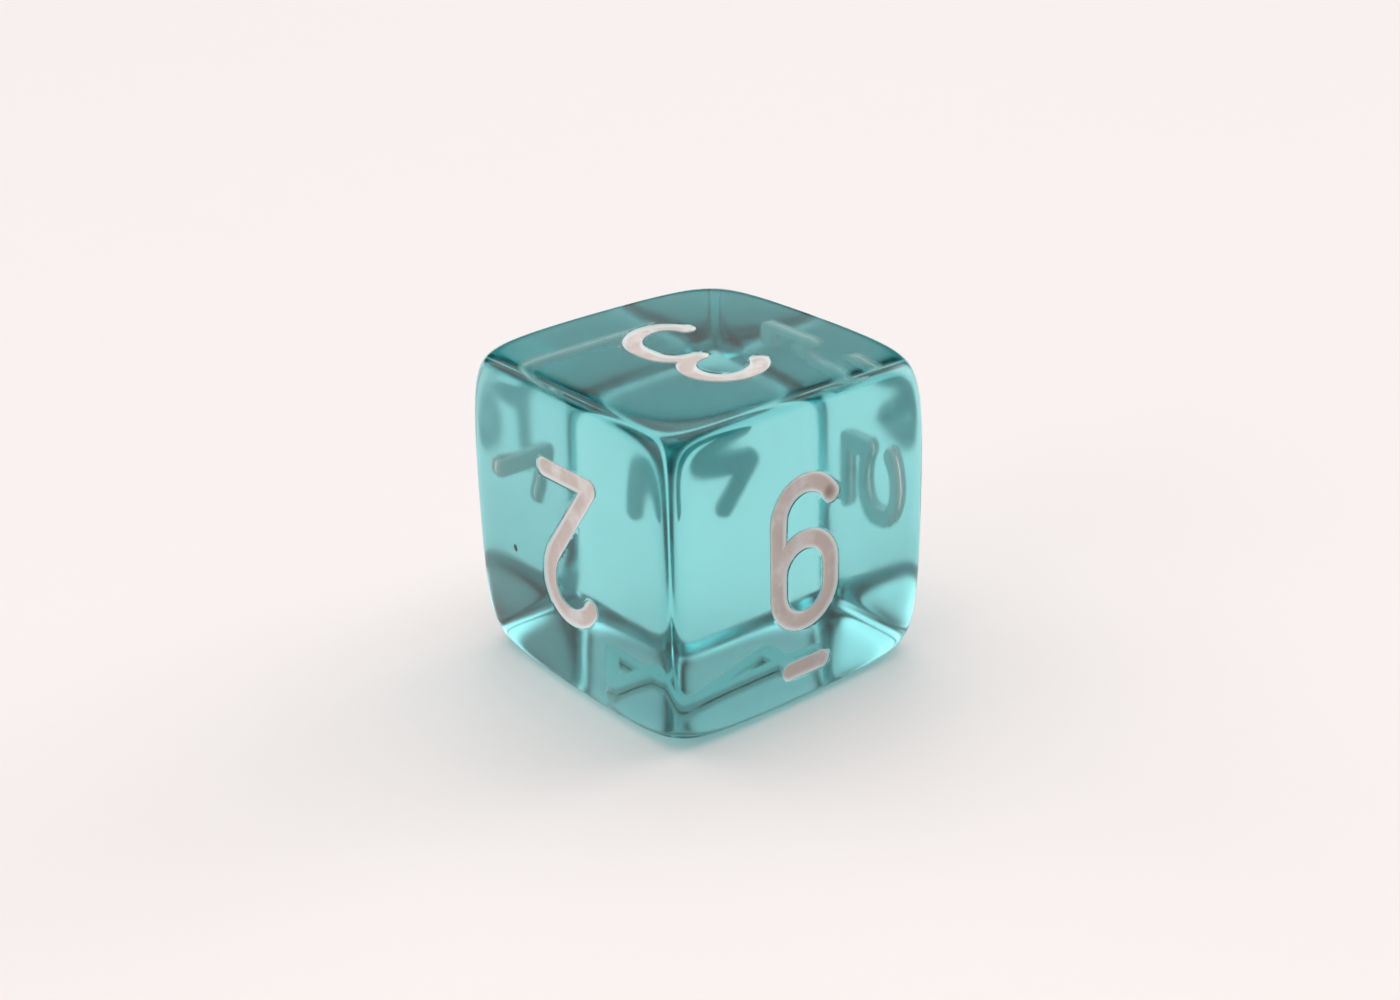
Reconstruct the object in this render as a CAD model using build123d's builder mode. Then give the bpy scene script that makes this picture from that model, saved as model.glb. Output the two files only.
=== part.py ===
from build123d import *

import os
from math import sqrt

# A moulded resin die with an engraved numeral on each face, filled with paint. The origin is the middle of the
# bottom face and +Z is up. The 3 is on top, the 2 faces -Y and the 6 faces +X.

# Driving dimensions, in millimetres
across_flats = 16.0     # face to face, on all three axes
corner_loss = 1.35      # what tumbling takes off each corner, along the body's diagonal
edge_radius = 0.5       # all the way round each face
numeral_height = 7.2    # top to bottom, between centrelines
stroke_width = 0.95     # of the engraving cutter
groove_depth = 0.35     # below the face
paint_recess = 0.05     # from the face down to the paint
bar_length = 2.0        # the bar under the 6, between the centres of its round ends
bar_gap = 2.5           # from the 6's lowest centreline to the bar's

half = across_flats / 2
middle = Vector(0, 0, half)

# The strokes of each numeral. A stroke is a heading in degrees and the points that it passes, and each stretch
# leaves its first point along the heading that the last one ended with, as an arc or straight on. Points are
# across and up from the middle of the face, in numeral heights.
strokes = {
    "1": [
        (270, [(0.14, 0.5), (0.14, -0.5)]),
        (219.6, [(0.14, 0.5), (-0.15, 0.26)]),
    ],
    "2": [
        (53.7, [(-0.278, -0.512), (0.132, 0.046), (0.208, 0.295), (0, 0.5), (-0.243, 0.361)]),
        (0, [(-0.278, -0.512), (0.222, -0.512)]),
    ],
    "3": [
        (0, [(0.06, 0.12), (0.285, 0.347), (0.055, 0.578), (-0.194, 0.431)]),
        (0, [(0.06, 0.12), (0.292, -0.112), (0.292, -0.19), (-0.005, -0.487), (-0.201, -0.333)]),
    ],
    "4": [
        (242.1, [(0.104, 0.5), (-0.278, -0.222)]),
        (0, [(-0.278, -0.222), (0.278, -0.222)]),
        (270, [(0.104, 0.5), (0.104, -0.5)]),
    ],
    "5": [
        (180, [(0.2, 0.5), (-0.236, 0.5)]),
        (270, [(-0.236, 0.5), (-0.236, 0.06)]),
        (43.8, [(-0.236, 0.06), (-0.007, 0.152), (0.236, -0.091), (0.236, -0.236), (-0.007, -0.479),
                (-0.243, -0.354)]),
    ],
    "6": [
        (117.5, [(0.215, 0.372), (-0.007, 0.507), (-0.236, 0.278), (-0.236, -0.114)]),
        (90, [(-0.236, -0.114), (-0.011, 0.111), (0.214, -0.114), (0.214, -0.247), (-0.011, -0.472),
              (-0.236, -0.247)]),
        (90, [(-0.236, -0.247), (-0.236, -0.114)]),
    ],
}
lowest_of_6 = -0.472 * numeral_height

# The way each face looks, and the way the top of its numeral points
faces = {
    "1": ((-1, 0, 0), (0, 1, 0)),
    "2": ((0, -1, 0), (0, 0, -1)),
    "3": ((0, 0, 1), (1, 0, 0)),
    "4": ((0, 0, -1), (0, -1, 0)),
    "5": ((0, 1, 0), (-1, 0, 0)),
    "6": ((1, 0, 0), (0, 0, 1)),
}


def plane_of(numeral, depth=0.0):
    """The plane at a depth below a face, with y towards the top of its numeral."""
    normal, up = (Vector(*way) for way in faces[numeral])
    return Plane(origin=middle + normal * (half - depth), x_dir=up.cross(normal), z_dir=normal)


def stroke_path(heading, points):
    """One stroke's centreline, in the plane of its face."""
    knots = [Vector(*point) * numeral_height for point in points]
    tangent = Vector(1, 0).rotate(Axis.Z, heading)
    with BuildLine() as path:
        for start, end in zip(knots, knots[1:]):
            if abs(tangent.cross((end - start).normalized()).Z) < 0.02:
                stretch = Line(start, end)
            else:
                stretch = TangentArc(start, end, tangent=tangent)
            tangent = stretch % 1
    return path.wire()


def numeral_outline(numeral):
    """The outline of a numeral, round at each end of every stroke."""
    with BuildSketch() as outline:
        for heading, points in strokes[numeral]:
            path = stroke_path(heading, points)
            trace(path, line_width=stroke_width)
            with Locations(path @ 0, path @ 1):
                Circle(stroke_width / 2)
    return outline.sketch


def bar_outline():
    """The outline of the bar that tells the 6 from a 9."""
    with BuildSketch() as outline:
        with Locations((0, lowest_of_6 - bar_gap)):
            SlotCenterToCenter(bar_length, stroke_width)
    return outline.sketch


# Each fill has its face and its outline
fills = {f"numeral_{numeral}": (numeral, numeral_outline(numeral)) for numeral in faces}
fills["numeral_6_bar"] = ("6", bar_outline())

os.makedirs("parts", exist_ok=True)

# The resin body: a cube that a ball rounds at the corners, with the grooves cut in
with BuildPart() as die_body:
    with Locations(middle):
        Box(across_flats, across_flats, across_flats)
        Sphere(half * sqrt(3) - corner_loss, mode=Mode.INTERSECT)
    fillet(die_body.edges(), edge_radius)
    for numeral, outline in fills.values():
        with BuildSketch(plane_of(numeral)):
            add(outline)
        extrude(amount=-groove_depth, mode=Mode.SUBTRACT)
die_body.part.label = "die_body"
export_step(die_body.part, "parts/die_body.step")

# The paint in each groove, from its floor to just below the face
for name, (numeral, outline) in fills.items():
    with BuildPart() as fill:
        with BuildSketch(plane_of(numeral, groove_depth)):
            add(outline)
        extrude(amount=groove_depth - paint_recess)
    fill.part.label = name
    export_step(fill.part, f"parts/{name}.step")
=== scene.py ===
import bpy
import bmesh
from math import cos, pi, radians, sin
from mathutils import Matrix, Vector


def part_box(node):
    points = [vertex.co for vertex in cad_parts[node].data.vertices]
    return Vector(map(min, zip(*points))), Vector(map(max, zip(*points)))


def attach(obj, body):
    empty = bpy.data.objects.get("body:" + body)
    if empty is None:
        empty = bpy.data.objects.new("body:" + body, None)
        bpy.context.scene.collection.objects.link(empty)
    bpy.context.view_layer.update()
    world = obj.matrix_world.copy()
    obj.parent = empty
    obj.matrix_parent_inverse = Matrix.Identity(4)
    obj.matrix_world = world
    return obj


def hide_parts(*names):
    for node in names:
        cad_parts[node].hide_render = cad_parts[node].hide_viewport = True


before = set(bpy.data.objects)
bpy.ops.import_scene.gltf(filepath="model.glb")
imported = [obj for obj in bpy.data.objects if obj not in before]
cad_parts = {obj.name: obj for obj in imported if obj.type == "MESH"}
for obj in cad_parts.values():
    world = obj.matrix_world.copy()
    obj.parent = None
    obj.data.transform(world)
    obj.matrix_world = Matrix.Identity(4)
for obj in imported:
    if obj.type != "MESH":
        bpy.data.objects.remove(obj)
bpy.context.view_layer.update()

mm = 0.001
low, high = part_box("die_body")
middle = (low + high) / 2
half = (high.z - low.z) / 2
numeralNodes = sorted(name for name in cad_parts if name.startswith("numeral"))
smoothAngle = radians(50)   # sharper edges than this stay sharp


def activate(piece):
    bpy.ops.object.select_all(action="DESELECT")
    piece.select_set(True)
    bpy.context.view_layer.objects.active = piece


def selectFaces(piece, wanted):
    bpy.ops.object.mode_set(mode="EDIT")
    bpy.ops.mesh.select_mode(type="FACE")
    bpy.ops.mesh.select_all(action="DESELECT")
    mesh = bmesh.from_edit_mesh(piece.data)
    for face in mesh.faces:
        face.select_set(wanted(face))
    bmesh.update_edit_mesh(piece.data)


def setNode(tree, kind, **inputs):
    node = tree.nodes.new(kind)
    for name, value in inputs.items():
        node.inputs[name.replace("_", " ")].default_value = value
    return node


def remap(tree, source, fromLow, fromHigh, toLow, toHigh):
    node = tree.nodes.new("ShaderNodeMapRange")
    node.interpolation_type = "SMOOTHSTEP"
    tree.links.new(source, node.inputs["Value"])
    for name, value in (("From Min", fromLow), ("From Max", fromHigh), ("To Min", toLow), ("To Max", toHigh)):
        node.inputs[name].default_value = value
    return node.outputs["Result"]


cameraValues = {
    "azimuth": 51.21,       # degrees, from -Y towards +X
    "elevation": 24.96,
    "roll": -1.314,
    "distance": 95.26 * mm,
    "aimRight": 0.11 * mm,  # the aim passes this far beside the die's middle
    "aimUp": 0.02 * mm,
    "lens": 49.73,
    "sensor": 36,
    "clipStart": 1 * mm,
}


def makeCamera(v):
    azimuth, elevation, roll = radians(v["azimuth"]), radians(v["elevation"]), radians(v["roll"])
    back = Vector((sin(azimuth) * cos(elevation), -cos(azimuth) * cos(elevation), sin(elevation)))
    eye = middle + back * v["distance"]
    level = Vector((cos(azimuth), sin(azimuth), 0))
    aim = middle + level * v["aimRight"] + back.cross(level) * v["aimUp"]
    bpy.ops.object.camera_add(location=eye)
    camera = bpy.context.object
    upright = (aim - eye).to_track_quat("-Z", "Y").to_matrix()
    camera.rotation_euler = (Matrix.Rotation(roll, 3, back) @ upright).to_euler()
    camera.data.sensor_width = v["sensor"]
    camera.data.lens = v["lens"]
    camera.data.clip_start = v["clipStart"]
    bpy.context.scene.camera = camera


makeCamera(cameraValues)
print("camera set")


resinValues = {
    "ior": 1.54,
    "absorbColor": (0.0, 0.81, 0.83, 1),
    "absorbDensity": 70,      # per metre
    "roughness": (0.1, 0.15),
    "hazeScale": 420,         # patches of slightly duller polish
    "hazeRange": (0.45, 0.75),
    "waveScale": 260,         # gentle waves left by tumbling
    "waveHeight": 0.008 * mm,
}
paintValues = {
    "rim": (0.85, 0.89, 0.87, 1),      # painted highlight: the dish's rims are lightened, with a touch of teal
    # painted shade: the dished middle is darkened to a pinkish brown
    "middle": (0.66, 0.55, 0.51, 1),
    "paintedShadeFrom": 0.4,                 # as a share of the way down the dished top, where the painted shade begins
    "pale": (0.88, 0.85, 0.84, 1),     # patches where it lies thicker
    "roughness": (0.42, 0.68),
    "patchScale": 700,
    "patchRange": (0.45, 0.72),
    "patchStrength": 0.8,
    "grainScale": 5200,
    "grainHeight": 0.012 * mm,
    "grainStrength": 0.6,
}
# painted shade: a dark brown patch on the 6's paint at the end of its hook, standing in for a dark shape that
# the resin's refraction shows there
paintedHookShadeValues = {
    "right": 1.5 * mm,      # from the middle of the 6's face to the end of its hook
    "up": 2.7 * mm,
    "reach": 0.5 * mm,
    "core": 0.2,            # full within this share of its reach
    "strength": 0.75,
    "color": (0.23, 0.13, 0.09, 1),
}


def noiseAt(tree, coordinates, scale, detail=3):
    noise = setNode(tree, "ShaderNodeTexNoise", Scale=scale, Detail=detail)
    tree.links.new(coordinates, noise.inputs["Vector"])
    return noise.outputs["Fac"]


def bump(tree, height, distance, strength, shader):
    node = setNode(tree, "ShaderNodeBump", Strength=strength, Distance=distance)
    tree.links.new(height, node.inputs["Height"])
    tree.links.new(node.outputs["Normal"], shader.inputs["Normal"])


def clearResin(v):
    material = bpy.data.materials.new("tealResin")
    material.use_nodes = True
    tree = material.node_tree
    shader = tree.nodes["Principled BSDF"]
    shader.inputs["Base Color"].default_value = (1, 1, 1, 1)
    shader.inputs["Transmission Weight"].default_value = 1
    shader.inputs["IOR"].default_value = v["ior"]
    place = tree.nodes.new("ShaderNodeTexCoord").outputs["Object"]
    haze = remap(tree, noiseAt(tree, place, v["hazeScale"], 5), *v["hazeRange"], *v["roughness"])
    tree.links.new(haze, shader.inputs["Roughness"])
    bump(tree, noiseAt(tree, place, v["waveScale"], 2), v["waveHeight"], 1, shader)
    tint = setNode(tree, "ShaderNodeVolumeAbsorption", Color=v["absorbColor"], Density=v["absorbDensity"])
    tree.links.new(tint.outputs["Volume"], tree.nodes["Material Output"].inputs["Volume"])
    return material


def blend(tree, factor, first, second):
    # first and second are a colour or another node's output
    # a Mix node takes its two colours in sockets 6 and 7, and gives one out of 2
    node = tree.nodes.new("ShaderNodeMix")
    node.data_type = "RGBA"
    tree.links.new(factor, node.inputs[0])
    for socket, color in ((node.inputs[6], first), (node.inputs[7], second)):
        if isinstance(color, tuple):
            socket.default_value = color
        else:
            tree.links.new(color, socket)
    return node.outputs[2]


def whitePaint(name, v, paintedShadeAt=None, paintedShade=None):
    material = bpy.data.materials.new(name)
    material.use_nodes = True
    tree = material.node_tree
    shader = tree.nodes["Principled BSDF"]
    place = tree.nodes.new("ShaderNodeTexCoord").outputs["Object"]
    depth = tree.nodes.new("ShaderNodeAttribute")
    depth.attribute_name = "depthInGroove"
    # painted light and shade on the dish: lighter rims, darker middle, set by depth below the rim
    color = blend(tree, remap(tree, depth.outputs["Fac"], v["paintedShadeFrom"], 1, 0, 1), v["rim"], v["middle"])
    patches = noiseAt(tree, place, v["patchScale"], 4)
    patches = remap(tree, patches, *v["patchRange"], 0, v["patchStrength"])
    color = blend(tree, patches, color, v["pale"])
    # painted shade: darkens the paint towards a dark brown near one point
    if paintedShade:
        away = tree.nodes.new("ShaderNodeVectorMath")
        away.operation = "DISTANCE"
        away.inputs[1].default_value = paintedShadeAt
        tree.links.new(place, away.inputs[0])
        core = paintedShade["reach"] * paintedShade["core"]
        near = remap(tree, away.outputs["Value"], core, paintedShade["reach"], paintedShade["strength"], 0)
        color = blend(tree, near, color, paintedShade["color"])
    tree.links.new(color, shader.inputs["Base Color"])
    dullness = remap(tree, patches, 0, v["patchStrength"], *v["roughness"])
    tree.links.new(dullness, shader.inputs["Roughness"])
    bump(tree, noiseAt(tree, place, v["grainScale"], 3), v["grainHeight"], v["grainStrength"], shader)
    return material


resin = clearResin(resinValues)
paint = whitePaint("numeralPaint", paintValues)
print("materials made")


bodyValues = {
    "cuts": 95,
    "crowding": 0.55,       # how far the grid's lines crowd towards the edges
    "edgePower": 24,        # higher is a tighter edge
    "crown": 0.0055,        # how far a face falls away at the middle of its edge, in half sizes
    "crownPower": 6,
    "cornerReach": 1.61,    # from the middle to a corner, in half sizes
    "cornerPower": 30,      # higher is a harder line round the corner
    "steepest": 2,          # a face has no say in directions that lean further from it
    "reachLimits": (0.8, 3),
    "rounds": 10,
}


def faceReach(toFace, aside, v):
    # how far out a slightly crowned face lies along a direction, found by closing in on it
    nearest, furthest = v["reachLimits"]
    reach = min(1 / toFace, furthest)
    for step in range(v["rounds"]):
        reach = min((1 - v["crown"] * (reach * aside) ** v["crownPower"]) / toFace, furthest)
        reach = max(reach, nearest)
    return reach


def tumbled(point, v):
    direction = point.normalized()
    nearness = 0
    for axis in range(3):
        toFace = max(abs(direction[axis]), 0.001)   # never nought
        aside = Vector([direction[k] for k in range(3) if k != axis]).length
        if aside / toFace < v["steepest"]:
            nearness += faceReach(toFace, aside, v) ** -v["edgePower"]
    nearness = nearness ** (v["cornerPower"] / v["edgePower"]) + v["cornerReach"] ** -v["cornerPower"]
    return direction * nearness ** (-1 / v["cornerPower"])


def makeBody(v):
    bpy.ops.object.select_all(action="DESELECT")
    bpy.ops.mesh.primitive_cube_add(size=2, location=(0, 0, 0))
    body = bpy.context.object
    body.name = body.data.name = "tumbledBody"
    bpy.ops.object.mode_set(mode="EDIT")
    bpy.ops.mesh.select_all(action="SELECT")
    bpy.ops.mesh.subdivide(number_cuts=v["cuts"])
    bpy.ops.object.mode_set(mode="OBJECT")
    for vertex in body.data.vertices:
        spread = Vector([(1 - v["crowding"]) * x + v["crowding"] * sin(pi / 2 * x) for x in vertex.co])
        vertex.co = middle + tumbled(spread, v) * half
    bpy.ops.object.shade_smooth()
    return body


grooveValues = {
    "lip": 0.05 * mm,        # the soft edge where the groove opens
    "floorRound": 0.1 * mm,
    "depth": 0.35 * mm,
    "steps": 4,
    "standsOut": 0.5 * mm,   # the cutter's height above the face
    "capNormal": 0.9,        # a cap's faces point at least this much its way
}
fillValues = {
    "bite": 0.008 * mm,      # the paint keys this far into the resin, all round
    "rim": 0.05 * mm,        # from the face down to the paint's edge
    "hollow": [              # each ring of the dished top, as (in, down)
        (0.05 * mm, 0.05 * mm),
        (0.07 * mm, 0.05 * mm),
        (0.09 * mm, 0.035 * mm),
        (0.11 * mm, 0.015 * mm),
    ],
    "belowTop": 1.01,        # a point past this share of the dish's depth is on the inner side
}


def outwardOf(node):
    nodeLow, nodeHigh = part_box(node)
    size = nodeHigh - nodeLow
    axis = min(range(3), key=lambda k: size[k])
    outward = Vector((0, 0, 0))
    outward[axis] = 1 if (nodeLow[axis] + nodeHigh[axis]) / 2 > middle[axis] else -1
    return outward


def slabOf(node, name, grow):
    # a copy of the fill's plain slab, merged and grown evenly
    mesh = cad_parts[node].data.copy()
    mesh.name = name
    mesh.materials.clear()
    slab = bpy.data.objects.new(name, mesh)
    bpy.context.scene.collection.objects.link(slab)
    activate(slab)
    bpy.ops.object.mode_set(mode="EDIT")
    bpy.ops.mesh.select_all(action="SELECT")
    bpy.ops.mesh.remove_doubles(threshold=1e-7)
    bpy.ops.mesh.customdata_custom_splitnormals_clear()
    bpy.ops.mesh.normals_make_consistent(inside=False)
    bpy.ops.transform.shrink_fatten(value=grow, use_even_offset=True)
    return slab


def pressTo(outward, level):
    # presses all that is selected flat, at a level above the face
    flat = [0 if part else 1 for part in outward]
    bpy.ops.transform.resize(value=flat, center_override=middle + outward * (half + level))


def startCap(slab, outward, side, level):
    # the slab's outer (side 1) or inner (side -1) cap goes to a level, and stays selected
    selectFaces(slab, lambda face: face.normal.dot(outward) * side > grooveValues["capNormal"])
    pressTo(outward, level)


def ring(outward, inward, level):
    bpy.ops.mesh.inset(thickness=inward, depth=0, use_boundary=True, use_even_offset=True)
    pressTo(outward, level)


def quarterRound(radius, steps, top, opens):
    # rings of a quarter circle as (in, level), down from a top level:
    # a lip opens from the face, a floor closes the wall
    turns = [pi / 2 * k / steps for k in range(steps + 1)]
    points = [(sin(t), 1 - cos(t)) if opens else (1 - cos(t), sin(t)) for t in turns]
    return [((b[0] - a[0]) * radius, top - b[1] * radius) for a, b in zip(points, points[1:])]


def makeCutter(node, g):
    outward = outwardOf(node)
    wallFoot = g["floorRound"] - g["depth"]
    cutter = slabOf(node, "cutter_" + node, g["lip"])
    startCap(cutter, outward, 1, g["standsOut"])
    startCap(cutter, outward, -1, 0)
    for inward, level in quarterRound(g["lip"], g["steps"], 0, True):
        ring(outward, inward, level)
    bpy.ops.mesh.extrude_region_move(TRANSFORM_OT_translate={"value": -outward * g["lip"]})
    pressTo(outward, wallFoot)
    for inward, level in quarterRound(g["floorRound"], g["steps"], wallFoot, False):
        ring(outward, inward, level)
    bpy.ops.object.mode_set(mode="OBJECT")
    return cutter


def makeFill(node, g, f, material):
    outward = outwardOf(node)
    wallFoot = g["floorRound"] - g["depth"] - f["bite"]
    fill = slabOf(node, "paint_" + node, f["bite"])
    level = -f["rim"]
    startCap(fill, outward, 1, level)
    for inward, down in f["hollow"]:
        level -= down
        ring(outward, inward, level)
    startCap(fill, outward, -1, wallFoot)
    for inward, level in quarterRound(g["floorRound"], g["steps"], wallFoot, False):
        ring(outward, inward, level)
    bpy.ops.object.mode_set(mode="OBJECT")
    # how far each point lies below the rim, which sets the painted shade in the dish's middle and the lighter
    # rims
    deepest = sum(down for inward, down in f["hollow"])
    heights = [(vertex.co - middle).dot(outward) for vertex in fill.data.vertices]
    depths = [(half - f["rim"] - height) / deepest for height in heights]
    depths = [depth if depth < f["belowTop"] else 0 for depth in depths]
    fill.data.attributes.new("depthInGroove", "FLOAT", "POINT").data.foreach_set("value", depths)
    fill.data.materials.append(material)
    bpy.ops.object.shade_smooth_by_angle(angle=smoothAngle)
    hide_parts(node)
    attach(fill, "root")


def engrave(body, g):
    cutters = [makeCutter(node, g) for node in numeralNodes]
    bpy.ops.object.select_all(action="DESELECT")
    for cutter in cutters:
        cutter.select_set(True)
    bpy.context.view_layer.objects.active = cutters[0]
    bpy.ops.object.join()
    cutter = bpy.context.object
    activate(body)
    cut = body.modifiers.new("engraving", "BOOLEAN")
    cut.operation = "DIFFERENCE"
    cut.solver = "EXACT"
    cut.object = cutter
    bpy.ops.object.modifier_apply(modifier=cut.name)
    bpy.data.objects.remove(cutter)


body = makeBody(bodyValues)
print("body shaped")
engrave(body, grooveValues)
activate(body)
bpy.ops.object.shade_smooth_by_angle(angle=smoothAngle)
body.data.materials.clear()
body.data.materials.append(resin)
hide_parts("die_body")
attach(body, "root")
print("numerals engraved,", len(body.data.polygons), "faces")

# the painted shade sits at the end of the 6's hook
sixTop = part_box("numeral_6")[1].x
hookEnd = Vector((sixTop, middle.y + paintedHookShadeValues["right"], middle.z + paintedHookShadeValues["up"]))
hookShadedPaint = whitePaint("hookShadedPaint", paintValues, paintedShadeAt=hookEnd, paintedShade=paintedHookShadeValues)
for node in numeralNodes:
    makeFill(node, grooveValues, fillValues, hookShadedPaint if node == "numeral_6" else paint)
print("paint laid in")


# a dark speck caught in the resin
speckValues = {
    "place": Vector((-4.4, -7.86, -1.6)) * mm,   # from the die's middle
    "size": (0.27, 0.12, 0.4),                   # across, in and up, of a ball 1 mm across
    "tilt": 12,                                  # degrees
    "unevenness": 0.012 * mm,
    "color": (0.012, 0.014, 0.015, 1),
    "roughness": (0.5, 0.9),
    "patchScale": 9000,
    "patchRange": (0.3, 0.7),
}


def makeSpeck(v):
    bpy.ops.object.select_all(action="DESELECT")
    bpy.ops.mesh.primitive_ico_sphere_add(subdivisions=3, radius=0.5 * mm, location=(0, 0, 0))
    speck = bpy.context.object
    speck.name = speck.data.name = "moldingSpeck"
    bpy.ops.object.mode_set(mode="EDIT")
    bpy.ops.mesh.select_all(action="SELECT")
    bpy.ops.transform.resize(value=v["size"])
    bpy.ops.transform.rotate(value=radians(v["tilt"]), orient_axis="Y", center_override=(0, 0, 0))
    bpy.ops.transform.vertex_random(offset=v["unevenness"], seed=3)
    bpy.ops.transform.translate(value=middle + v["place"])
    bpy.ops.object.mode_set(mode="OBJECT")
    bpy.ops.object.shade_smooth()
    material = bpy.data.materials.new("darkSpeck")
    material.use_nodes = True
    tree = material.node_tree
    shader = tree.nodes["Principled BSDF"]
    shader.inputs["Base Color"].default_value = v["color"]
    place = tree.nodes.new("ShaderNodeTexCoord").outputs["Object"]
    dullness = remap(tree, noiseAt(tree, place, v["patchScale"]), *v["patchRange"], *v["roughness"])
    tree.links.new(dullness, shader.inputs["Roughness"])
    speck.data.materials.append(material)
    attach(speck, "root")


makeSpeck(speckValues)
print("speck added")


studioValues = {
    "floor": (0.945, 0.875, 0.86, 1),
    "floorRoughness": 0.7,
    "floorSize": 8,
    "floorDrop": 0.01 * mm,                # just clear of the resin
    "backdrop": (0.955, 0.885, 0.87, 1),   # what the camera sees past the floor's edge
    # each soft box: degrees round from the camera's side, height in degrees, full within, gone beyond,
    # and strength
    "softBoxes": [
        (0, 90, 15, 36, 1.6),
        (120, 42, 12, 34, 1.5),
        (240, 42, 12, 34, 1.3),
        (180, 54, 6, 22, 1.6),
        (180, 22, 4, 18, 0.55),
        (120, 14, 6, 24, 2.0),
        (240, 14, 6, 24, 0.55),
        (300, 12, 8, 34, 1.4),
        (300, 42, 12, 38, 0.45),
        (60, 42, 12, 38, 0.3),
        (0, 12, 12, 40, 0.25),
    ],
}


def makeStudio(v):
    bpy.ops.object.select_all(action="DESELECT")
    bpy.ops.mesh.primitive_plane_add(size=v["floorSize"], location=(0, 0, -v["floorDrop"]))
    floor = bpy.context.object
    floor.name = "floor"
    material = bpy.data.materials.new("paleFloor")
    material.use_nodes = True
    shader = material.node_tree.nodes["Principled BSDF"]
    shader.inputs["Base Color"].default_value = v["floor"]
    shader.inputs["Roughness"].default_value = v["floorRoughness"]
    floor.data.materials.append(material)

    world = bpy.data.worlds.new("studio")
    bpy.context.scene.world = world
    world.use_nodes = True
    tree = world.node_tree
    background = tree.nodes["Background"]
    way = tree.nodes.new("ShaderNodeTexCoord").outputs["Generated"]
    total = None
    for turn, height, inner, outer, strength in v["softBoxes"]:
        turn, height = radians(cameraValues["azimuth"] + turn), radians(height)
        facing = tree.nodes.new("ShaderNodeVectorMath")
        facing.operation = "DOT_PRODUCT"
        facing.inputs[1].default_value = (sin(turn) * cos(height), -cos(turn) * cos(height), sin(height))
        tree.links.new(way, facing.inputs[0])
        glow = remap(tree, facing.outputs["Value"], cos(radians(outer)), cos(radians(inner)), 0, strength)
        if total is not None:
            both = tree.nodes.new("ShaderNodeMath")
            tree.links.new(total, both.inputs[0])
            tree.links.new(glow, both.inputs[1])
            glow = both.outputs[0]
        total = glow
    # seen straight from the camera, the studio is as pale as the floor
    straight = tree.nodes.new("ShaderNodeLightPath").outputs["Is Camera Ray"]
    tree.links.new(blend(tree, straight, total, v["backdrop"]), background.inputs["Color"])
    bpy.context.scene.view_settings.view_transform = "Standard"


makeStudio(studioValues)
print("studio set")
